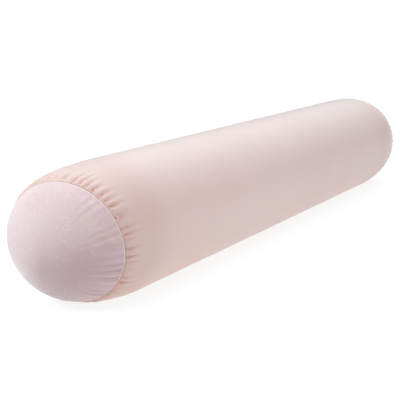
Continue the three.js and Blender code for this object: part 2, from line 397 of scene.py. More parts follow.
def newMaterial(name):
    material = bpy.data.materials.new(name)
    material.use_nodes = True
    material.node_tree.nodes.clear()
    return material, material.node_tree


def finishMaterial(tree, inputs):
    shader = addNode(tree, "BsdfPrincipled", inputs)
    addNode(tree, "OutputMaterial", {"Surface": shader.outputs[0]})


knit = {
    "light": "#cab2ae",
    "deep": "#c5a7a1",
    # painted shade in the gathers' dips, beside the seams and over the shoulders
    "foldShade": "#b67c6c",
    # painted bounce light, warming the underside towards the table
    "under": "#d8a78e",
    "cloud": 160 * mm,  # how wide the slow change from light to deep is
    "wale": 1.1 * mm,  # real wales are 0.35 mm apart, drawn three times as coarse so that they can show
    "grain": 1.6 * mm,
}


# Stretch satin knit, warp-knitted nylon and elastane: smooth and softly shiny, with very fine ribs along the
# tube. The folds get a deeper pink as painted shade, for light that bounces inside a gather, and a painted
# bounce light warms the underside to peach, for the light between the pillow and the table.
def knitMaterial():
    material, tree = newMaterial("satinStretchKnit")
    place = addNode(tree, "TexCoord").outputs["Object"]
    cloudy = addNode(tree, "TexNoise", {"Vector": place, "Scale": 1 / knit["cloud"], "Detail": 2.0})
    colour = addNode(tree, "Mix", {0: cloudy.outputs[0], 6: knit["light"], 7: knit["deep"]},
                     data_type="RGBA").outputs[2]
    # Painted bounce light on the underside, then painted shade in the folds.
    for part in ("under", "foldShade"):
        share = addNode(tree, "Attribute", attribute_name=part).outputs["Fac"]
        colour = addNode(tree, "Mix", {0: share, 6: colour, 7: knit[part]}, data_type="RGBA").outputs[2]
    around = addNode(tree, "Attribute", attribute_name="wale")
    wave = addNode(tree, "Math", {0: around.outputs["Fac"], 1: turn / knit["wale"]}, operation="MULTIPLY")
    ribs = addNode(tree, "Math", {0: wave.outputs[0]}, operation="SINE")
    grain = addNode(tree, "TexNoise", {"Vector": place, "Scale": 1 / knit["grain"], "Detail": 3.0})
    relief = addNode(tree, "Math", {0: ribs.outputs[0], 1: grain.outputs[0]}, operation="ADD")
    fine = addNode(tree, "Bump", {"Strength": 0.10, "Distance": 0.06 * mm, "Height": relief.outputs[0]})
    finishMaterial(tree, {
        "Base Color": colour, "Roughness": 0.46, "IOR": 1.46, "Specular IOR Level": 0.55,
        "Sheen Weight": 0.45, "Sheen Roughness": 0.45, "Sheen Tint": (1.0, 0.95, 0.94, 1.0),
        "Subsurface Weight": 0.25, "Subsurface Radius": (0.010, 0.005, 0.004), "Subsurface Scale": 0.6,
        "Normal": fine.outputs[0],
    })
    return material


plush = {
    "light": "#c9b3b3",
    "deep": "#bda3a5",
    # painted highlight along the seam's edge
    "rimHighlight": "#efe6e6",
    # painted shade on the lower side and in the creases
    "plushShade": "#aa8a92",
    "swirl": 3.0 * mm,  # from one brushed ridge to the next
    "bandLength": 0.314,  # between the wave texture's bands at a scale of 1
    "sway": 28 * mm,  # how far apart the swirls' bends are
    "swayReach": 50 * mm,
    "clump": 5 * mm,
    "patch": 40 * mm,
    "pile": 1.1 * mm,  # real tufts are 0.3 mm across, drawn nearly four times as coarse so that they can show
}


# Short polyester plush, brushed: the pile lies in small swirls, like a fingerprint, each ridge a shade
# lighter or darker. Its lower side and its creases get a deeper mauve as painted shade. A pale rim along
# the seam is a painted highlight, where its cut edge catches the light.
def plushMaterial():
    material, tree = newMaterial("brushedPlush")
    place = addNode(tree, "TexCoord").outputs["Object"]
    sway = addNode(tree, "TexNoise", {"Vector": place, "Scale": 1 / plush["sway"], "Detail": 1.0})
    shift = addNode(tree, "VectorMath", {0: sway.outputs["Color"], 1: (plush["swayReach"],) * 3},
                    operation="MULTIPLY")
    bent = addNode(tree, "VectorMath", {0: place, 1: shift.outputs[0]}, operation="ADD").outputs[0]
    swirl = addNode(tree, "TexWave", {
        "Vector": bent, "Scale": plush["bandLength"] / plush["swirl"], "Distortion": 5.0,
        "Detail": 2.0, "Detail Scale": 2.2, "Detail Roughness": 0.6,
    }, bands_direction="Y")
    clumps = addNode(tree, "TexNoise", {"Vector": bent, "Scale": 1 / plush["clump"], "Detail": 4.0,
                                        "Roughness": 0.62})
    patches = addNode(tree, "TexNoise", {"Vector": place, "Scale": 1 / plush["patch"], "Detail": 3.0})
    ridges = addNode(tree, "Math", {0: swirl.outputs["Fac"], 1: 0.30, 2: clumps.outputs[0]},
                     operation="MULTIPLY_ADD")
    both = addNode(tree, "Math", {0: ridges.outputs[0], 1: patches.outputs[0]}, operation="ADD")
    shade = addNode(tree, "MapRange", {"Value": both.outputs[0], "From Min": 0.75, "From Max": 1.55})
    colour = addNode(tree, "Mix", {0: shade.outputs[0], 6: plush["deep"], 7: plush["light"]},
                     data_type="RGBA").outputs[2]
    # Painted shade on the lower side and in the creases, and a painted highlight along the seam.
    for part, tint in (("plushShade", plush["plushShade"]), ("edge", plush["rimHighlight"])):
        share = addNode(tree, "Attribute", attribute_name=part).outputs["Fac"]
        colour = addNode(tree, "Mix", {0: share, 6: colour, 7: tint}, data_type="RGBA").outputs[2]
    pile = addNode(tree, "TexNoise", {"Vector": place, "Scale": 1 / plush["pile"], "Detail": 3.0})
    relief = addNode(tree, "Math", {0: ridges.outputs[0], 1: 1.3, 2: pile.outputs[0]},
                     operation="MULTIPLY_ADD")
    rough = addNode(tree, "Bump", {"Strength": 0.35, "Distance": 0.8 * mm, "Height": relief.outputs[0]})
    finishMaterial(tree, {
        "Base Color": colour, "Roughness": 0.95, "IOR": 1.45, "Specular IOR Level": 0.15,
        "Sheen Weight": 0.6, "Sheen Roughness": 0.5, "Sheen Tint": (1.0, 0.93, 0.95, 1.0),
        "Normal": rough.outputs[0],
    })
    return material


weave = {"mottle": 12 * mm, "depth": 0.15 * mm}


# Cloths with two sets of threads: waves along and around at the threads' spacing, times each other, and a
# slow mottle in the dye. The tape and the lining are matt, the elastic is matt and ribbed, and the satin and
# the thread have a soft gloss. The spacings of the tape, the satin and the lining are two to three times the
# real ones, so that they show.
def wovenMaterial(name, light, deep, thread, roughness, sheen):
    material, tree = newMaterial(name)
    place = addNode(tree, "TexCoord").outputs["Object"]
    split = addNode(tree, "SeparateXYZ", {0: place}).outputs
    across = addNode(tree, "Math", {0: split[1], 1: split[2]}, operation="SUBTRACT").outputs[0]
    waves = []
    for value in (split[0], across):
        scaled = addNode(tree, "Math", {0: value, 1: turn / thread}, operation="MULTIPLY")
        waves.append(addNode(tree, "Math", {0: scaled.outputs[0]}, operation="SINE").outputs[0])
    crossed = addNode(tree, "Math", {0: waves[0], 1: waves[1]}, operation="MULTIPLY").outputs[0]
    mottle = addNode(tree, "TexNoise", {"Vector": place, "Scale": 1 / weave["mottle"], "Detail": 3.0})
    colour = addNode(tree, "Mix", {0: mottle.outputs[0], 6: light, 7: deep}, data_type="RGBA").outputs[2]
    relief = addNode(tree, "Bump", {"Strength": 0.4, "Distance": weave["depth"], "Height": crossed})
    finishMaterial(tree, {
        "Base Color": colour, "Roughness": roughness, "IOR": 1.5, "Sheen Weight": sheen,
        "Normal": relief.outputs[0],
    })
    return material


plating = {"bright": "#c9c6c2", "dull": "#b5b1ad", "scratch": 0.7 * mm}


# Nickel-plated zinc: bright, with the faint haze of small scratches from being pulled.
def platedMaterial():
    material, tree = newMaterial("nickelPlatedZinc")
    place = addNode(tree, "TexCoord").outputs["Object"]
    scratch = addNode(tree, "TexNoise", {"Vector": place, "Scale": 1 / plating["scratch"], "Detail": 5.0})
    rough = addNode(tree, "MapRange", {"Value": scratch.outputs[0], "To Min": 0.22, "To Max": 0.42})
    colour = addNode(tree, "Mix", {0: scratch.outputs[0], 6: plating["bright"], 7: plating["dull"]},
                     data_type="RGBA").outputs[2]
    finishMaterial(tree, {"Base Color": colour, "Metallic": 1.0, "Roughness": rough.outputs[0]})
    return material


nylon = {"light": "#ecd5d0", "deep": "#e2c4bd", "mottle": 2 * mm}


# Nylon monofilament, moulded into a coil: a smooth, slightly milky plastic with a soft gloss.
def nylonMaterial():
    material, tree = newMaterial("nylonMonofilament")
    place = addNode(tree, "TexCoord").outputs["Object"]
    mottle = addNode(tree, "TexNoise", {"Vector": place, "Scale": 1 / nylon["mottle"], "Detail": 2.0})
    colour = addNode(tree, "Mix", {0: mottle.outputs[0], 6: nylon["light"], 7: nylon["deep"]},
                     data_type="RGBA").outputs[2]
    finishMaterial(tree, {
        "Base Color": colour, "Roughness": 0.34, "IOR": 1.53, "Subsurface Weight": 0.2,
        "Subsurface Radius": (0.001, 0.0006, 0.0005), "Subsurface Scale": 1.0,
    })
    return material


# The gap colour is painted shade between the beads.
bead = {"light": "#fbfbfa", "gap": "#cfcecd", "size": 2.2 * mm, "depth": 0.9 * mm}


# Expanded polystyrene beads, packed: round white grains, with painted shade in the gaps between them.
def beadMaterial():
    material, tree = newMaterial("foamBeads")
    place = addNode(tree, "TexCoord").outputs["Object"]
    middle = addNode(tree, "TexVoronoi", {"Vector": place, "Scale": 1 / bead["size"]}).outputs["Distance"]
    gapShade = addNode(tree, "MapRange", {"Value": middle, "From Min": 0.25, "From Max": 0.8}).outputs[0]
    colour = addNode(tree, "Mix", {0: gapShade, 6: bead["light"], 7: bead["gap"]}, data_type="RGBA").outputs[2]
    rounded = addNode(tree, "Bump", {"Strength": 1.0, "Distance": bead["depth"], "Height": middle},
                      invert=True)
    finishMaterial(tree, {"Base Color": colour, "Roughness": 0.6, "IOR": 1.3, "Normal": rounded.outputs[0]})
    return material


materials = {
    "knit": knitMaterial(),
    "plush": plushMaterial(),
    "tape": wovenMaterial("wovenPolyesterTape", "#e8d2cd", "#dcc0ba", 0.9 * mm, 0.8, 0.2),
    "elastic": wovenMaterial("knittedElastic", "#f4ecea", "#e6dcd9", 1.2 * mm, 0.85, 0.2),
    "satin": wovenMaterial("satinRibbon", "#dcd3cc", "#d0c6be", 0.5 * mm, 0.5, 0.15),
    "lining": wovenMaterial("cottonLining", "#f6f4f1", "#e9e5e0", 0.8 * mm, 0.8, 0.25),
    "thread": wovenMaterial("polyesterThread", "#f0dfdb", "#e6d0ca", 0.4 * mm, 0.6, 0.2),
    "metal": platedMaterial(),
    "nylon": nylonMaterial(),
    "beads": beadMaterial(),
}
print("materials ready")


slit = {
    "halfWidth": 5.8 * mm,
    "end": zipSpan("zip_tape_upper")[1][0] - 6 * mm,  # from the middle, and the tapes run 6 mm past it
    "fade": 6 * mm,  # how far past the end the hem runs out
    "hem": 0.7 * mm,
    "roll": 1 * mm,  # from the slit's edge to the top of the hem
    "rollWide": 1.6 * mm,
    "stitchRow": 3.2 * mm,  # from the slit's edge
    "stitchDip": 0.8 * mm,
    "seamDip": 0.9 * mm,
    "seamWide": 1.6 * mm,
}
cover = {
    "wall": 1.0 * mm,
    "turnIn": 5 * mm,
    "step": 12 * mm,  # along the middle of the tube
    "columnStep": 1.33 * mm,
    "fineStep": 0.6 * mm,  # beside the zip
    "fineReach": 16 * mm,
    "rearShift": 2.1,  # turns the rear end's gathers round, so that the ends differ
    # The painted shade in the folds, beside the seams and over the shoulders.
    "foldDepth": 0.9 * mm,  # a dip this deep has as much of the painted fold shade as a dip can have
    "foldMost": 0.75,
    "seamShade": 0.2,  # of the painted fold shade, beside the seam
    "seamWide": 12 * mm,
    "shoulderShade": 0.22,
    "shoulderShadeAt": 60 * mm,  # from the seam to where the painted shoulder shade is deepest
    "shoulderShadeWide": 45 * mm,
    # The painted bounce light on the underside.
    "paintedBounceMost": 0.5,
    "paintedBounceReach": 75 * mm,  # how far up from the table the painted bounce light reaches
}


# Where the cover's columns of points stand, as arcs from the zip's line: fine beside the slit, with a column
# on each of its edges, and even all the way round the rest.
def coverArcs():
    fine = np.arange(slit["halfWidth"], cover["fineReach"], cover["fineStep"])
    inside = np.linspace(0, slit["halfWidth"], 7)[:-1]
    side = np.concatenate([inside, fine])
    far = turn * radius - side[-1]
    rest = np.linspace(side[-1], far, int((far - side[-1]) / cover["columnStep"]))[1:-1]
    return np.concatenate([side, rest, turn * radius - side[:0:-1]])


# The cover's rings from seam to seam: each one's place along the tube, and its radius. At both ends they
# stand as close as the solver's rows, and in between one stands at each end of the slit.
def coverProfile(rows):
    fine = np.linspace(0, coverGathers["reach"], rows)
    x = shoulderProfile(fine)[0] - seamX
    steps = int(round(-x[-1] / cover["step"]))
    middle = np.linspace(x[-1], -x[-1], 2 * steps + 1)[1:-1]
    for end in (-slit["end"], slit["end"]):
        middle[np.argmin(abs(middle - end))] = end
    length = np.concatenate([fine, fine[-1] + middle - x[-1]])
    shoulderOut = shoulderProfile(length[length < fine[-1] + pillowShape["shoulder"]])[1]
    out = np.full(len(length) + len(fine), radius)
    out[: len(shoulderOut)] = shoulderOut
    out[-len(shoulderOut):] = shoulderOut[::-1]
    return np.concatenate([x, middle, -x[::-1]]), out


# How far the cover stands off its smooth profile: the gathers at both ends, and the zip's hem and seam.
def coverHeights(field, x, arc):
    angles = arc / radius
    front, rear = heightsAt(field, angles), heightsAt(field, angles, cover["rearShift"])[::-1]
    height = np.zeros((len(x), len(arc)))
    height[: len(front)] += front
    height[-len(rear):] += rear
    signed = np.where(arc > turn * radius / 2, arc - turn * radius, arc)
    return height + slitRelief(x, signed)


# The cover's faces, without those inside the zip's slit.
def coverFaces(along, arc):
    faces = gridFaces(len(along), len(arc))
    row, column = np.divmod(np.arange(len(faces)), len(arc))
    middleX = (along[row] + along[row + 1]) / 2
    middleArc = ((arc + np.append(arc[1:], turn * radius)) / 2)[column]
    fromZip = np.minimum(middleArc, turn * radius - middleArc)
    opened = (abs(middleX) < slit["end"]) & (fromZip < slit["halfWidth"])
    return faces[~opened]


# What the knit's material reads. The painted fold shade is in the dips, beside the seam and, faintly, over
# the shoulder. The painted warm bounce light fades upward from the table. The wales follow the arc from the
# zip's line.
def colourCover(piece, points, along, arc, height):
    foldShade = np.zeros(points.shape[:2])
    foldShade[1:-1] = np.clip(-height / cover["foldDepth"], 0, 1) * cover["foldMost"]
    fromSeam = np.minimum(abs(along + seamX), abs(along - seamX))[:, None]
    foldShade += cover["seamShade"] * bump(fromSeam, cover["seamWide"])
    foldShade += cover["shoulderShade"] * bump(fromSeam - cover["shoulderShadeAt"], cover["shoulderShadeWide"])
    setFloats(piece, "foldShade", np.clip(foldShade, 0, 1))
    setFloats(piece, "under", cover["paintedBounceMost"] * smoothStep(1 - points[..., 2] / cover["paintedBounceReach"]))
    setFloats(piece, "wale", np.tile(arc, (len(along), 1)))


# The cover's tube, from seam to seam. It is the smooth profile with the gathers laid on at both ends, a
# shallow groove where the closing seam runs on from the zip, and a raised, stitched hem on both sides of the
# slit. Its two edges are turned in.
def makeCover(field):
    x, out = coverProfile(field.shape[0])
    arc = coverArcs()
    bare = settle(revolve(x, out, arc / radius))
    height = coverHeights(field, x, arc)
    full = bare + gridNormals(bare) * height[:, :, None]
    full[..., 2] = np.maximum(full[..., 2], 0.0)
    centre = full[[0, -1]].mean(1, keepdims=True)
    turnedIn = full[[0, -1]] + (centre - full[[0, -1]]) * cover["turnIn"] / seamRadius
    points = np.concatenate([turnedIn[:1], full, turnedIn[1:]])
    along = np.concatenate([x[:1], x, x[-1:]])
    piece = makePiece("coverTube", points, [coverFaces(along, arc)], materials["knit"])
    colourCover(piece, points, along, arc, height)
    dropLoosePoints(piece)
    giveWall(piece, cover["wall"])
    return placePiece(piece, "stretch_knit", "cover_tube")


# The hem's height over the smooth tube, as bell curves of the distance round it: a soft roll at the slit's
# edge, with a dip where the stitches pull it down, and past the slit's ends one dip along the closing seam.
def slitRelief(x, arc):
    x, arc = x[:, None], arc[None]
    inSlit = smoothStep((slit["end"] + slit["fade"] - abs(x)) / slit["fade"])
    seamDip = -slit["seamDip"] * bump(arc, slit["seamWide"]) * (1 - inSlit)
    beside = abs(arc) - slit["halfWidth"]
    roll = bump(beside - slit["roll"], slit["rollWide"])
    hem = slit["hem"] * (roll - bump(beside - slit["stitchRow"], slit["stitchDip"]))
    return seamDip + np.where(beside >= 0, hem, 0) * inSlit


panel = {
    "columns": 320,
    "wall": 2.2 * mm,
    "lip": 0.5 * mm,  # how far the pile stands up along the seam
    "lipWidth": 1.6 * mm,
    "lipFade": 2.5 * mm,
    "rimHighlight": 1.3 * mm,  # width of the painted highlight along its cut edge
    "creases": 44,
    "creaseDepth": 1.3 * mm,
    "creaseStart": 5 * mm,  # from the seam to where they are whole
    "creaseReach": 34 * mm,
    "creaseFade": 1.6,  # power of the fade: 1 falls off at once, and 2 is a bell curve
    "slackSide": np.radians(200),  # which way round, from +Y, the panel is slackest
    "slackPower": 1.5,  # larger keeps the slack to a smaller part of the panel
    "tautShare": 0.12,  # of their depth that the creases keep where it is tautest
    "steady": 0.8,  # of that depth everywhere
    "uneven": 0.4,  # of it more or less, in a few waves around
    "unevenWaves": 5,
    "turnIn": 4 * mm,
    "shadeSide": np.radians(215),  # which way round the painted shade lies
    "shadeOut": 0.6,  # how far out, as a share of the panel's radius
    "shadeReach": 0.62,  # of the panel's radius
    "patchShade": 0.46,  # of the painted shade's colour
    "creaseShade": 0.4,
}


# One end of the pillow as a grid, from its seam to near the middle of its dome, and the point that closes it.
def domeGrid(side, cloth, inset, floor, angles):
    x, out, _ = domeProfile(cloth, inset)
    out = slimmerDome(out) if inset > 0 else out
    bare = settle(revolve(side * (seamX - inset + x), out, angles), floor)
    return bare, polePoint(bare[-1], bare[-2])


# An inner dome's radius with the slack taken off, though never more than a tenth of it.
def slimmerDome(out):
    return out - np.minimum(pillowShape["innerSlack"], out * 0.1)


# The point that closes a dome: its last ring's middle, carried on by a share of the step before it.
def polePoint(last, before):
    return last.mean(0) + (last.mean(0) - before.mean(0)) * pillowShape["poleStep"]


# Where a dome's rings stand, as lengths of cloth from the seam. A plush panel's are close together beside it.
def domeCloth(inset=0.0, coarse=False):
    last = domeProfile(0.0, inset)[2] * pillowShape["lastRing"]
    if coarse:
        return np.linspace(0, last, 40)
    return np.concatenate([np.linspace(0, 6 * mm, 9), np.linspace(7.8 * mm, last, 62)])


# How much painted shade the pile gets: a bell-shaped patch on the panel's lower side, and the creases' dips.
def panelShade(points, creases):
    side = panel["shadeSide"]
    across = (points[:, 1] - seamRadius * panel["shadeOut"] * np.cos(side)) / seamRadius
    up = (points[:, 2] - axisHeight - seamRadius * panel["shadeOut"] * np.sin(side)) / seamRadius
    patch = bump(np.hypot(across, up), panel["shadeReach"])
    dips = np.zeros(len(points))
    dips[creases.shape[1] : -1] = np.clip(-creases, 0, 1).ravel()
    return np.clip(panel["patchShade"] * patch + panel["creaseShade"] * dips, 0, 1)


# A plush end panel: the dome, a lip of pile along the seam with a quarter-round edge, and short radial
# creases that start at the seam, where the flat cut panel has more cloth than the seam holds, and fade as
# they go in.
def makePanel(name, node, side, seed):
    cloth = domeCloth()
    angles = evenAngles(panel["columns"])
    bare, pole = domeGrid(side, cloth, 0.0, 0.0, angles)
    creases = ripples(len(cloth), angles, panel["creases"], noFade, seed)
    slack = (0.5 + 0.5 * np.cos(zipAngle + angles - panel["slackSide"])) ** panel["slackPower"]
    uneven = panel["uneven"] * ripples(1, angles, panel["unevenWaves"], noFade, seed + 1)
    strength = (panel["tautShare"] + (1 - panel["tautShare"]) * slack) * (panel["steady"] + uneven)
    fade = np.exp(-((cloth / panel["creaseReach"]) ** panel["creaseFade"]))
    fade = fade * smoothStep(cloth / panel["creaseStart"])
    raised = np.where(
        cloth < panel["lipWidth"],
        np.sqrt(np.clip(1 - (cloth / panel["lipWidth"] - 1) ** 2, 0, 1)),
        bump(cloth - panel["lipWidth"], panel["lipFade"]),
    )
    height = panel["creaseDepth"] * creases * strength * fade[:, None] + panel["lip"] * raised[:, None]
    full = bare + gridNormals(bare) * height[:, :, None]
    full[..., 2] = np.maximum(full[..., 2], 0.0)
    turnedIn = bare[:1] + (bare[:1].mean(1, keepdims=True) - bare[:1]) * panel["turnIn"] / seamRadius
    points, faces = closeDome(np.concatenate([turnedIn, full]), pole, side)
    piece = makePiece(name, points, faces, materials["plush"])
    # The painted highlight along the seam's edge, and the painted shade on the lower side and in the creases.
    rimHighlight = np.append(np.append(0, bump(cloth - panel["rimHighlight"] / 2, panel["rimHighlight"] / 2))[:, None] + 0 * angles, 0)
    setFloats(piece, "edge", rimHighlight)
    setFloats(piece, "plushShade", panelShade(points, creases * strength * fade[:, None]))
    giveWall(piece, panel["wall"])
    return placePiece(piece, "plush", node)


elastic = {
    "columns": 360,
    "sides": 16,
    "powers": (0.4, 0.6),
    "thickness": 1.2 * mm,
    "gap": 0.3 * mm,  # between it and the back of the cover
    "rib": 0.12 * mm,
    "ribs": 5,
}


# A flat section's rounded outline, from -1 to 1 each way: the cosine and the sine of an angle, each raised
# to a power that keeps its sign. Small powers make it square.
def roundedOutline(sides, powers):
    around = evenAngles(sides)
    across = np.sign(np.cos(around)) * abs(np.cos(around)) ** powers[0]
    out = np.sign(np.sin(around)) * abs(np.sin(around)) ** powers[1]
    return across, out


# The elastic inside one gathered end: a flat ribbed band that follows the back of the gathers, as a rounded
# section carried round the seam.
def makeGatheringTape(name, node, field, side, shift):
    low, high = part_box(node)
    g = coverGathers
    angles = evenAngles(elastic["columns"])
    near = min(abs(low.x), abs(high.x))
    wide = abs(high.x - low.x)
    fine = np.linspace(0, g["reach"], 400)
    rowStart = np.interp(seamX - near - wide, shoulderProfile(fine)[0], fine)
    square, lift = roundedOutline(elastic["sides"], elastic["powers"])
    across = wide / 2 * (1 - square)
    down = elastic["thickness"] / 2 * (1 - lift)
    down = down - elastic["rib"] * np.cos(across / wide * elastic["ribs"] * turn)
    cloth = rowStart + across
    x, out = shoulderProfile(cloth)
    heights = heightsAt(field, angles, shift)
    rows = np.arange(field.shape[0]) * g["step"]
    follow = np.stack([np.interp(cloth, rows, column) for column in heights.T], 1)
    under = cover["wall"] + elastic["gap"] + down
    ring = revolve(side * (seamX - x), out - under, angles)
    outward = revolve(0 * x, np.ones_like(out), angles) - [0, 0, axisHeight]
    points = settle(ring + outward * follow[:, :, None])
    faces = gridFaces(*points.shape[:2], closedAlong=True)
    piece = makePiece(name, points, [faces if side < 0 else faces[:, ::-1]], materials["elastic"])
    return placePiece(piece, "gathering_tape", node)


liner = {
    "wall": 0.5 * mm,
    "columns": 240,
    "wrinkle": 0.35 * mm,
    "wrinkles": {"tube": 18, "panel": 22},  # how many go round
    "wrinkleTurn": 0.9,  # radians from ring to ring
    "smoothSeam": 20 * mm,  # from the seam to where the wrinkles are whole
    "panelGap": 0.4 * mm,
    "panelFade": 16,  # rows
    "seed": 31,
    "panelSeed": 37,
}


# How much slimmer the inner pillow is at each place along the tube.
def innerSlack(x):
    start = seamX - pillowShape["slackFrom"]
    return pillowShape["innerSlack"] * smoothStep((abs(x) - start) / pillowShape["slackFade"])


# Where the inner pillow's rings stand from the seam to its middle, as lengths of cloth: close together over
# the shoulder, and further apart past it.
def innerCloth(start, fine, coarse):
    near = np.linspace(start, pillowShape["fineCloth"], fine)
    return np.append(near, np.linspace(near[-1] + pillowShape["fineGap"], seamX, coarse))


# The inner pillow's tube and its two round ends, of thin cotton with soft wrinkles, which only go inward.
def makeLiner():
    angles = evenAngles(liner["columns"])
    x, out = shoulderProfile(innerCloth(0, 49, 40), linerInset)
    x = x - seamX + linerInset
    keep = x < 0
    x, out = np.append(x[keep], 0), np.append(out[keep], radius - linerInset)
    x, out = np.append(x, -x[-2::-1]), np.append(out, out[-2::-1])
    bare = settle(revolve(x, out - innerSlack(x), angles), linerFloor)
    wrinkles = ripples(len(x), angles, liner["wrinkles"]["tube"], noFade, liner["seed"])
    wrinkles = wrinkles * np.sin(np.arange(len(x)) * liner["wrinkleTurn"])[:, None]
    fromSeam = seamX - abs(x)
    height = liner["wrinkle"] * wrinkles * smoothStep(fromSeam / liner["smoothSeam"])[:, None]
    points = bare + gridNormals(bare) * np.minimum(height, 0.0)[:, :, None]
    piece = makePiece("linerTube", points, [gridFaces(*points.shape[:2])], materials["lining"])
    giveWall(piece, liner["wall"])
    placePiece(piece, "lining", "liner_tube")
    for end, side in (("Front", -1), ("Rear", 1)):
        cloth = domeCloth(linerInset, coarse=True)
        bare, pole = domeGrid(side, cloth + liner["panelGap"], linerInset, linerFloor, angles)
        seed = liner["panelSeed"] + side
        wrinkles = ripples(len(cloth), angles, liner["wrinkles"]["panel"], liner["panelFade"], seed)
        wrinkled = bare + gridNormals(bare) * (liner["wrinkle"] * np.minimum(wrinkles, 0))[:, :, None]
        points, faces = closeDome(wrinkled, pole, side)
        piece = makePiece("liner" + end + "Panel", points, faces, materials["lining"])
        giveWall(piece, liner["wall"])
        placePiece(piece, "lining", "liner_" + end.lower() + "_panel")


fill = {"columns": 220, "lump": 0.5 * mm, "lumps": 40, "lumpTurn": 1.7, "seed": 43}


# The beads, as the one body that they make: both domes and the tube between them, closed at each end. Its
# lumps are ripples around times a sine along, which only go inward.
def makeFill():
    angles = evenAngles(fill["columns"])
    domeLengths = domeCloth(fillInset, coarse=True)
    domeX, domeOut, _ = domeProfile(domeLengths[::-1], fillInset)
    x, out = shoulderProfile(innerCloth(3 * mm, 40, 60), fillInset)
    x = x - seamX + fillInset
    x, out = x[x < 0], out[x < 0]
    halfX = np.concatenate([-(seamX - fillInset) - domeX, x, [0]])
    halfOut = np.concatenate([slimmerDome(domeOut), out - innerSlack(x), [radius - fillInset]])
    x, out = np.append(halfX, -halfX[-2::-1]), np.append(halfOut, halfOut[-2::-1])
    bare = settle(revolve(x, out, angles), fillFloor)
    lumps = ripples(len(x), angles, fill["lumps"], noFade, fill["seed"])
    lumps = lumps * np.sin(np.arange(len(x)) * fill["lumpTurn"])[:, None]
    points = bare + gridNormals(bare) * (fill["lump"] * np.minimum(lumps, 0))[:, :, None]
    rows, columns = points.shape[:2]
    ends = [polePoint(points[0], points[1]), polePoint(points[-1], points[-2])]
    faces = [
        gridFaces(rows, columns),
        poleFaces(rows, columns, rows * columns + 1),
        poleFaces(rows, columns, rows * columns, atStart=True),
    ]
    piece = makePiece("beadFill", np.concatenate([points.reshape(-1, 3), ends]), faces, materials["beads"])
    return placePiece(piece, "beads", "bead_fill")


# A closed section carried along a path, one ring of points for each row, with a flat face at each end.
def sweepPiece(name, rings, material):
    rows, columns = rings.shape[:2]
    caps = [np.arange(columns)[None], ((rows - 1) * columns + np.arange(columns))[None, ::-1]]
    faces = [gridFaces(rows, columns)[:, ::-1], *caps]
    return makePiece(name, rings, faces, material)


# A point at a place along the tube, an arc from the zip's line and a distance from the axis.
def onTube(x, arc, out):
    angle = zipAngle + arc / radius
    x, angle, out = np.broadcast_arrays(x, angle, out)
    return np.stack([x, out * np.cos(angle), axisHeight + out * np.sin(angle)], -1)


zipTape = {
    "thickness": 0.6 * mm,
    "rows": 240,
    "sides": 28,
    "powers": (0.35, 0.7),
    "flutter": 0.12 * mm,
    "flutterLength": 45 * mm,
}


# A flat band lying round the tube, from one arc to another: a rounded section carried along the tube.
def bandRings(x, fromArc, toArc, inner, outer, wave):
    square, lift = roundedOutline(zipTape["sides"], zipTape["powers"])
    arc = (fromArc + toArc) / 2 + (toArc - fromArc) / 2 * square
    out = (inner + outer) / 2 + (outer - inner) / 2 * lift
    return onTube(x[:, None], arc[None], out[None] + wave)


# The zip's two tapes, flat bands that lie round the tube and flutter along it by a sine, and their coils.
def makeZip():
    for place, side in (("upper", 1), ("lower", -1)):
        low, high = zipSpan("zip_tape_" + place)
        x = np.linspace(low[0], high[0], zipTape["rows"])
        edge = np.sort(abs(np.array([low[2], high[2]])))
        top = np.hypot(high[1], edge[0])
        flutter = zipTape["flutter"] * (np.sin(x * turn / zipTape["flutterLength"] + side) - 1)
        inner = top - zipTape["thickness"]
        rings = bandRings(x, side * edge[0], side * edge[1], inner, top, flutter[:, None])
        if side < 0:
            rings = rings[:, ::-1]
        piece = sweepPiece("zipTape" + place.title(), rings, materials["tape"])
        placePiece(piece, "zip_tape", "zip_tape_" + place)
        makeCoil(place, side)


coil = {
    "pitch": 1.2 * mm,
    "wire": 0.56 * mm,
    "steps": 12,  # for each turn
    "sides": 6,
    "reach": 0.35 * mm,  # how far its heads stand out towards the other coil
}


# A coil: a wire wound in a flattened helix, with its turns half a pitch apart from the other side's.
def makeCoil(place, side):
    low, high = zipSpan("zip_coil_" + place)
    wire = coil["wire"] / 2
    turns = int((high[0] - low[0] - coil["wire"]) / coil["pitch"])
    t = np.linspace(0, turns * turn, turns * coil["steps"] + 1)
    edge = np.sort(abs(np.array([low[2], high[2]]))) - [coil["reach"], 0]
    halfAcross = (edge[1] - edge[0]) / 2 - wire
    halfOut = (high[1] - low[1]) / 2 - wire
    start = low[0] + wire + (0.5 * coil["pitch"] if side > 0 else 0)
    along = start + coil["pitch"] * t / turn
    across = side * (edge.mean() + halfAcross * np.cos(t))
    out = (high[1] + low[1]) / 2 + halfOut * np.sin(t)
    path = np.stack([along, out, across], 1)
    ahead = np.gradient(path, axis=0)
    ahead /= np.linalg.norm(ahead, axis=1, keepdims=True)
    sideways = np.cross(ahead, [1.0, 0, 0])
    sideways /= np.linalg.norm(sideways, axis=1, keepdims=True)
    other = np.cross(ahead, sideways)
    around = evenAngles(coil["sides"])[None, :, None]
    rings = path[:, None] + wire * (np.cos(around) * sideways[:, None] + np.sin(around) * other[:, None])
    rings = rings[..., :1] * [1, 0, 0] + rings[..., 1:2] * zipOut + rings[..., 2:] * zipAcross
    rings = rings + [0, 0, axisHeight]
    piece = sweepPiece("zipCoil" + place.title(), rings[:, ::-1], materials["nylon"])
    placePiece(piece, "zip_coil", "zip_coil_" + place)


stitch = {
    "spacing": 3.0 * mm,
    "length": 2.3 * mm,
    "thread": 0.45 * mm,
    "lift": 0.25 * mm,  # how far its middle stands up
    "sunk": 0.8,  # how deep the row lies, as a share of the hem
    "rows": 5,
    "sides": 6,
}


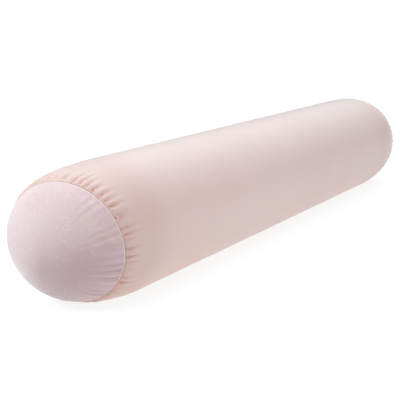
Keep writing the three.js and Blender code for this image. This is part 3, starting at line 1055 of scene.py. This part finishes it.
# A row of stitches beside each edge of the slit. Each is a short thread on a parabola, pulled down and
# thinner at both ends.
def makeStitches():
    count = int(2 * slit["end"] / stitch["spacing"])
    middles = (np.arange(count) - (count - 1) / 2) * stitch["spacing"]
    t = np.linspace(-1, 1, stitch["rows"])
    thick = stitch["thread"] / 2 * np.sqrt(np.clip(1 - t**4, 0.05, 1))
    around = evenAngles(stitch["sides"])
    points = []
    base = gridFaces(len(t), len(around))[:, ::-1]
    caps = np.array([np.arange(len(around)), (len(t) - 1) * len(around) + np.arange(len(around))[::-1]])
    row = slit["halfWidth"] + slit["stitchRow"]
    height = radius - slit["hem"] * stitch["sunk"]
    for arc in (-row, row):
        x = middles[:, None, None] + stitch["length"] / 2 * t[None, :, None]
        lift = stitch["lift"] * (1 - t**2)[None, :, None]
        side = arc + thick[None, :, None] * np.cos(around)[None, None]
        out = height + lift + thick[None, :, None] * np.sin(around)[None, None]
        rings = onTube(x, side, out).reshape(count, -1, 3)
        points.append(rings.reshape(-1, 3))
    per = len(t) * len(around)
    starts = np.arange(2 * count)[:, None, None] * per
    quads = (base[None] + starts).reshape(-1, 4)
    ends = (caps[None] + starts).reshape(-1, len(around))
    piece = makePiece("zipTopstitch", np.concatenate(points), [quads, ends], materials["thread"])
    return placePiece(piece, "zip_tape")


label = {
    "length": 28 * mm,
    "top": 0.6 * mm,
    "lift": 0.4 * mm,
    "thickness": 0.4 * mm,
    "curl": 1.4 * mm,
    "curlFrom": 0.45,  # of the way down
    "curlLeast": 0.35,  # of the curl, at the side that curls less
    "wave": 0.25 * mm,
}


# A blank satin care label, sewn into the closing seam by its top edge. It hangs round the tube, a sine across
# it grows on the way down, and its free corner curls a little.
def makeLabel():
    low, high = zipSpan("care_label")
    arcs = np.linspace(label["top"], -label["length"], 40)[:, None]
    x = np.linspace(low[0], high[0], 24)[None]
    down = -arcs / label["length"]
    share = (x - low[0]) / (high[0] - low[0])
    corner = smoothStep((down - label["curlFrom"]) / (1 - label["curlFrom"]))
    corner = corner * (label["curlLeast"] + (1 - label["curlLeast"]) * share)
    under = radius + label["lift"] + label["curl"] * corner + label["wave"] * np.sin(share * turn) * down
    top = onTube(x, arcs, under + label["thickness"])
    bottom = onTube(x, arcs, under)
    loop = np.concatenate([top, bottom[:, ::-1]], 1)
    piece = sweepPiece("careLabel", loop[:, ::-1], materials["satin"])
    return placePiece(piece, "label_satin", "care_label")


metalParts = {
    "zipSlider": ("zip_slider", "slider", 0.18 * mm),
    "zipPullTab": ("zip_pull_tab", "pull", 0.25 * mm),
    "zipTopStopUpper": ("zip_top_stop_upper", "pillow", 0.15 * mm),
    "zipTopStopLower": ("zip_top_stop_lower", "pillow", 0.15 * mm),
    "zipBottomStop": ("zip_bottom_stop", "pillow", 0.15 * mm),
}


# A metal piece with the CAD piece's own shape: a merged copy with its flat faces joined, shaded flat, and its
# edges rounded, as plating leaves them.
def makeMetal(name, node, body, edge):
    mesh = nodes[node].data.copy()
    mesh.name = name
    solid = bmesh.new()
    solid.from_mesh(mesh)
    bmesh.ops.remove_doubles(solid, verts=solid.verts, dist=0.002 * mm)
    bmesh.ops.dissolve_limit(solid, angle_limit=0.02, verts=solid.verts, edges=solid.edges)
    solid.to_mesh(mesh)
    solid.free()
    mesh.polygons.foreach_set("use_smooth", np.full(len(mesh.polygons), True))
    mesh.materials.clear()
    mesh.materials.append(materials["metal"])
    piece = bpy.data.objects.new(name, mesh)
    bpy.context.scene.collection.objects.link(piece)
    rounding = piece.modifiers.new("rounding", "BEVEL")
    rounding.width = edge
    rounding.segments = 3
    rounding.limit_method = "ANGLE"
    rounding.angle_limit = 0.6
    flat = piece.modifiers.new("flatFaces", "WEIGHTED_NORMAL")
    flat.weight = 100
    return placePiece(piece, "zip_metal", node, body=body)


field = gatherHeights()
print("gathers relaxed")
makeCover(field)
makePanel("frontEndPanel", "front_end_panel", -1, 53)
makePanel("rearEndPanel", "rear_end_panel", 1, 8)
makeGatheringTape("frontGatheringTape", "front_gathering_tape", field, -1, 0.0)
makeGatheringTape("rearGatheringTape", "rear_gathering_tape", field, 1, cover["rearShift"])
print("cover made")
makeLiner()
makeFill()
print("inner pillow made")
makeZip()
makeStitches()
makeLabel()
for name, (node, body, edge) in metalParts.items():
    makeMetal(name, node, body, edge)
print("zip made")


view = {
    "azimuth": 210.432,
    "elevation": 12.373,
    "distance": 1.524,
    "lens": 82.2,
    "target": (-0.182, 0.0, 0.082),
}
# Soft light from the whole sky, as lobes: where each is centred, how narrow it is, and its strength there.
sky = {
    "overhead": {"azimuth": 0, "elevation": 90, "narrow": 2, "strength": 0.80, "colour": "#f0f7ff"},
    "zenith": {"azimuth": 0, "elevation": 90, "narrow": 6, "strength": 0.24, "colour": "#fdfeff"},
    "behind": {"azimuth": 30, "elevation": 35, "narrow": 6, "strength": 1.14, "colour": "#ecf6ff"},
    "right": {"azimuth": 330, "elevation": 35, "narrow": 6, "strength": 0.92, "colour": "#f6faff"},
    "camera": {"azimuth": 240, "elevation": 58, "narrow": 6, "strength": 1.19, "colour": "#fbfbff"},
}
lamps = {
    "key": {"azimuth": 150, "elevation": 38, "distance": 3.0, "size": 1.6, "power": 73, "colour": "#eefffd"},
    "near": {"azimuth": 158, "elevation": 75, "distance": 2.1, "size": 1.2, "power": 5, "colour": "#f6fdff"},
    "low": {"azimuth": 250, "elevation": 8, "distance": 1.1, "size": 0.5, "power": 2.7, "colour": "#fff6f3"},
}
backdrop = {"colour": "#ffffff", "strength": 1.1}
table = {"size": 120.0, "colour": "#787f80", "glow": 0.81, "glowColour": "#ffffff"}


# The direction at an azimuth from +X towards +Y, and an elevation, in degrees.
def direction(azimuth, elevation):
    azimuth, elevation = np.radians([azimuth, elevation])
    level = np.cos(elevation)
    return Vector((np.cos(azimuth) * level, np.sin(azimuth) * level, np.sin(elevation)))


def makeCamera():
    back = direction(view["azimuth"], view["elevation"])
    data = bpy.data.cameras.new("camera")
    data.lens = view["lens"]
    data.sensor_width = 36
    data.clip_end = 200
    camera = bpy.data.objects.new("camera", data)
    bpy.context.scene.collection.objects.link(camera)
    camera.location = Vector(view["target"]) + back * view["distance"]
    camera.rotation_euler = back.to_track_quat("Z", "Y").to_euler()
    bpy.context.scene.camera = camera


def makeLamps():
    for name, chosen in lamps.items():
        data = bpy.data.lights.new(name, "AREA")
        data.shape = "DISK"
        data.size = chosen["size"]
        data.energy = chosen["power"]
        data.color = linear(chosen["colour"])[:3]
        lamp = bpy.data.objects.new(name, data)
        bpy.context.scene.collection.objects.link(lamp)
        toLamp = direction(chosen["azimuth"], chosen["elevation"])
        lamp.location = toLamp * chosen["distance"]
        lamp.rotation_euler = toLamp.to_track_quat("Z", "Y").to_euler()
        lamp.visible_camera = False


# The sky's lobes are powers of the cosine from each one's middle, above the horizon. Behind the object the
# background is plain white.
def makeSky():
    world = bpy.data.worlds.new("studio")
    world.use_nodes = True
    bpy.context.scene.world = world
    tree = world.node_tree
    tree.nodes.clear()
    toSky = addNode(tree, "TexCoord").outputs["Generated"]
    height = addNode(tree, "SeparateXYZ", {0: toSky}).outputs[2]
    above = addNode(tree, "Math", {0: height, 1: 0.0}, operation="GREATER_THAN").outputs[0]
    total = (0.0, 0.0, 0.0)
    for lobe in sky.values():
        middle = direction(lobe["azimuth"], lobe["elevation"])
        cosine = addNode(tree, "VectorMath", {0: toSky, 1: middle}, operation="DOT_PRODUCT").outputs["Value"]
        facing = addNode(tree, "Math", {0: cosine, 1: 0.0}, operation="MAXIMUM").outputs[0]
        spread = addNode(tree, "Math", {0: facing, 1: lobe["narrow"]}, operation="POWER").outputs[0]
        tint = [channel * lobe["strength"] for channel in linear(lobe["colour"])[:3]]
        part = addNode(tree, "VectorMath", {0: tint, "Scale": spread}, operation="SCALE").outputs[0]
        total = addNode(tree, "VectorMath", {0: part, 1: total}, operation="ADD").outputs[0]
    lit = addNode(tree, "Background", {"Color": total, "Strength": above})
    plain = addNode(tree, "Background", {"Color": backdrop["colour"], "Strength": backdrop["strength"]})
    seen = addNode(tree, "LightPath").outputs["Is Camera Ray"]
    both = addNode(tree, "MixShader", {0: seen, 1: lit.outputs[0], 2: plain.outputs[0]})
    addNode(tree, "OutputWorld", {"Surface": both.outputs[0]})


# A packshot table of opal acrylic, lit evenly from below, so that only a faint shadow is left where the
# pillow touches it.
def makeFloor():
    material, tree = newMaterial("opalAcrylicTable")
    finishMaterial(tree, {
        "Base Color": table["colour"], "Roughness": 0.9, "Specular IOR Level": 0.1,
        "Emission Color": table["glowColour"], "Emission Strength": table["glow"],
    })
    corners = np.array([[-1, -1, 0], [1, -1, 0], [1, 1, 0], [-1, 1, 0]]) * table["size"] / 2
    makePiece("floor", corners, [np.array([[0, 1, 2, 3]])], material)


makeCamera()
makeLamps()
makeSky()
makeFloor()
bpy.context.scene.view_settings.view_transform = "Standard"
print("studio ready")
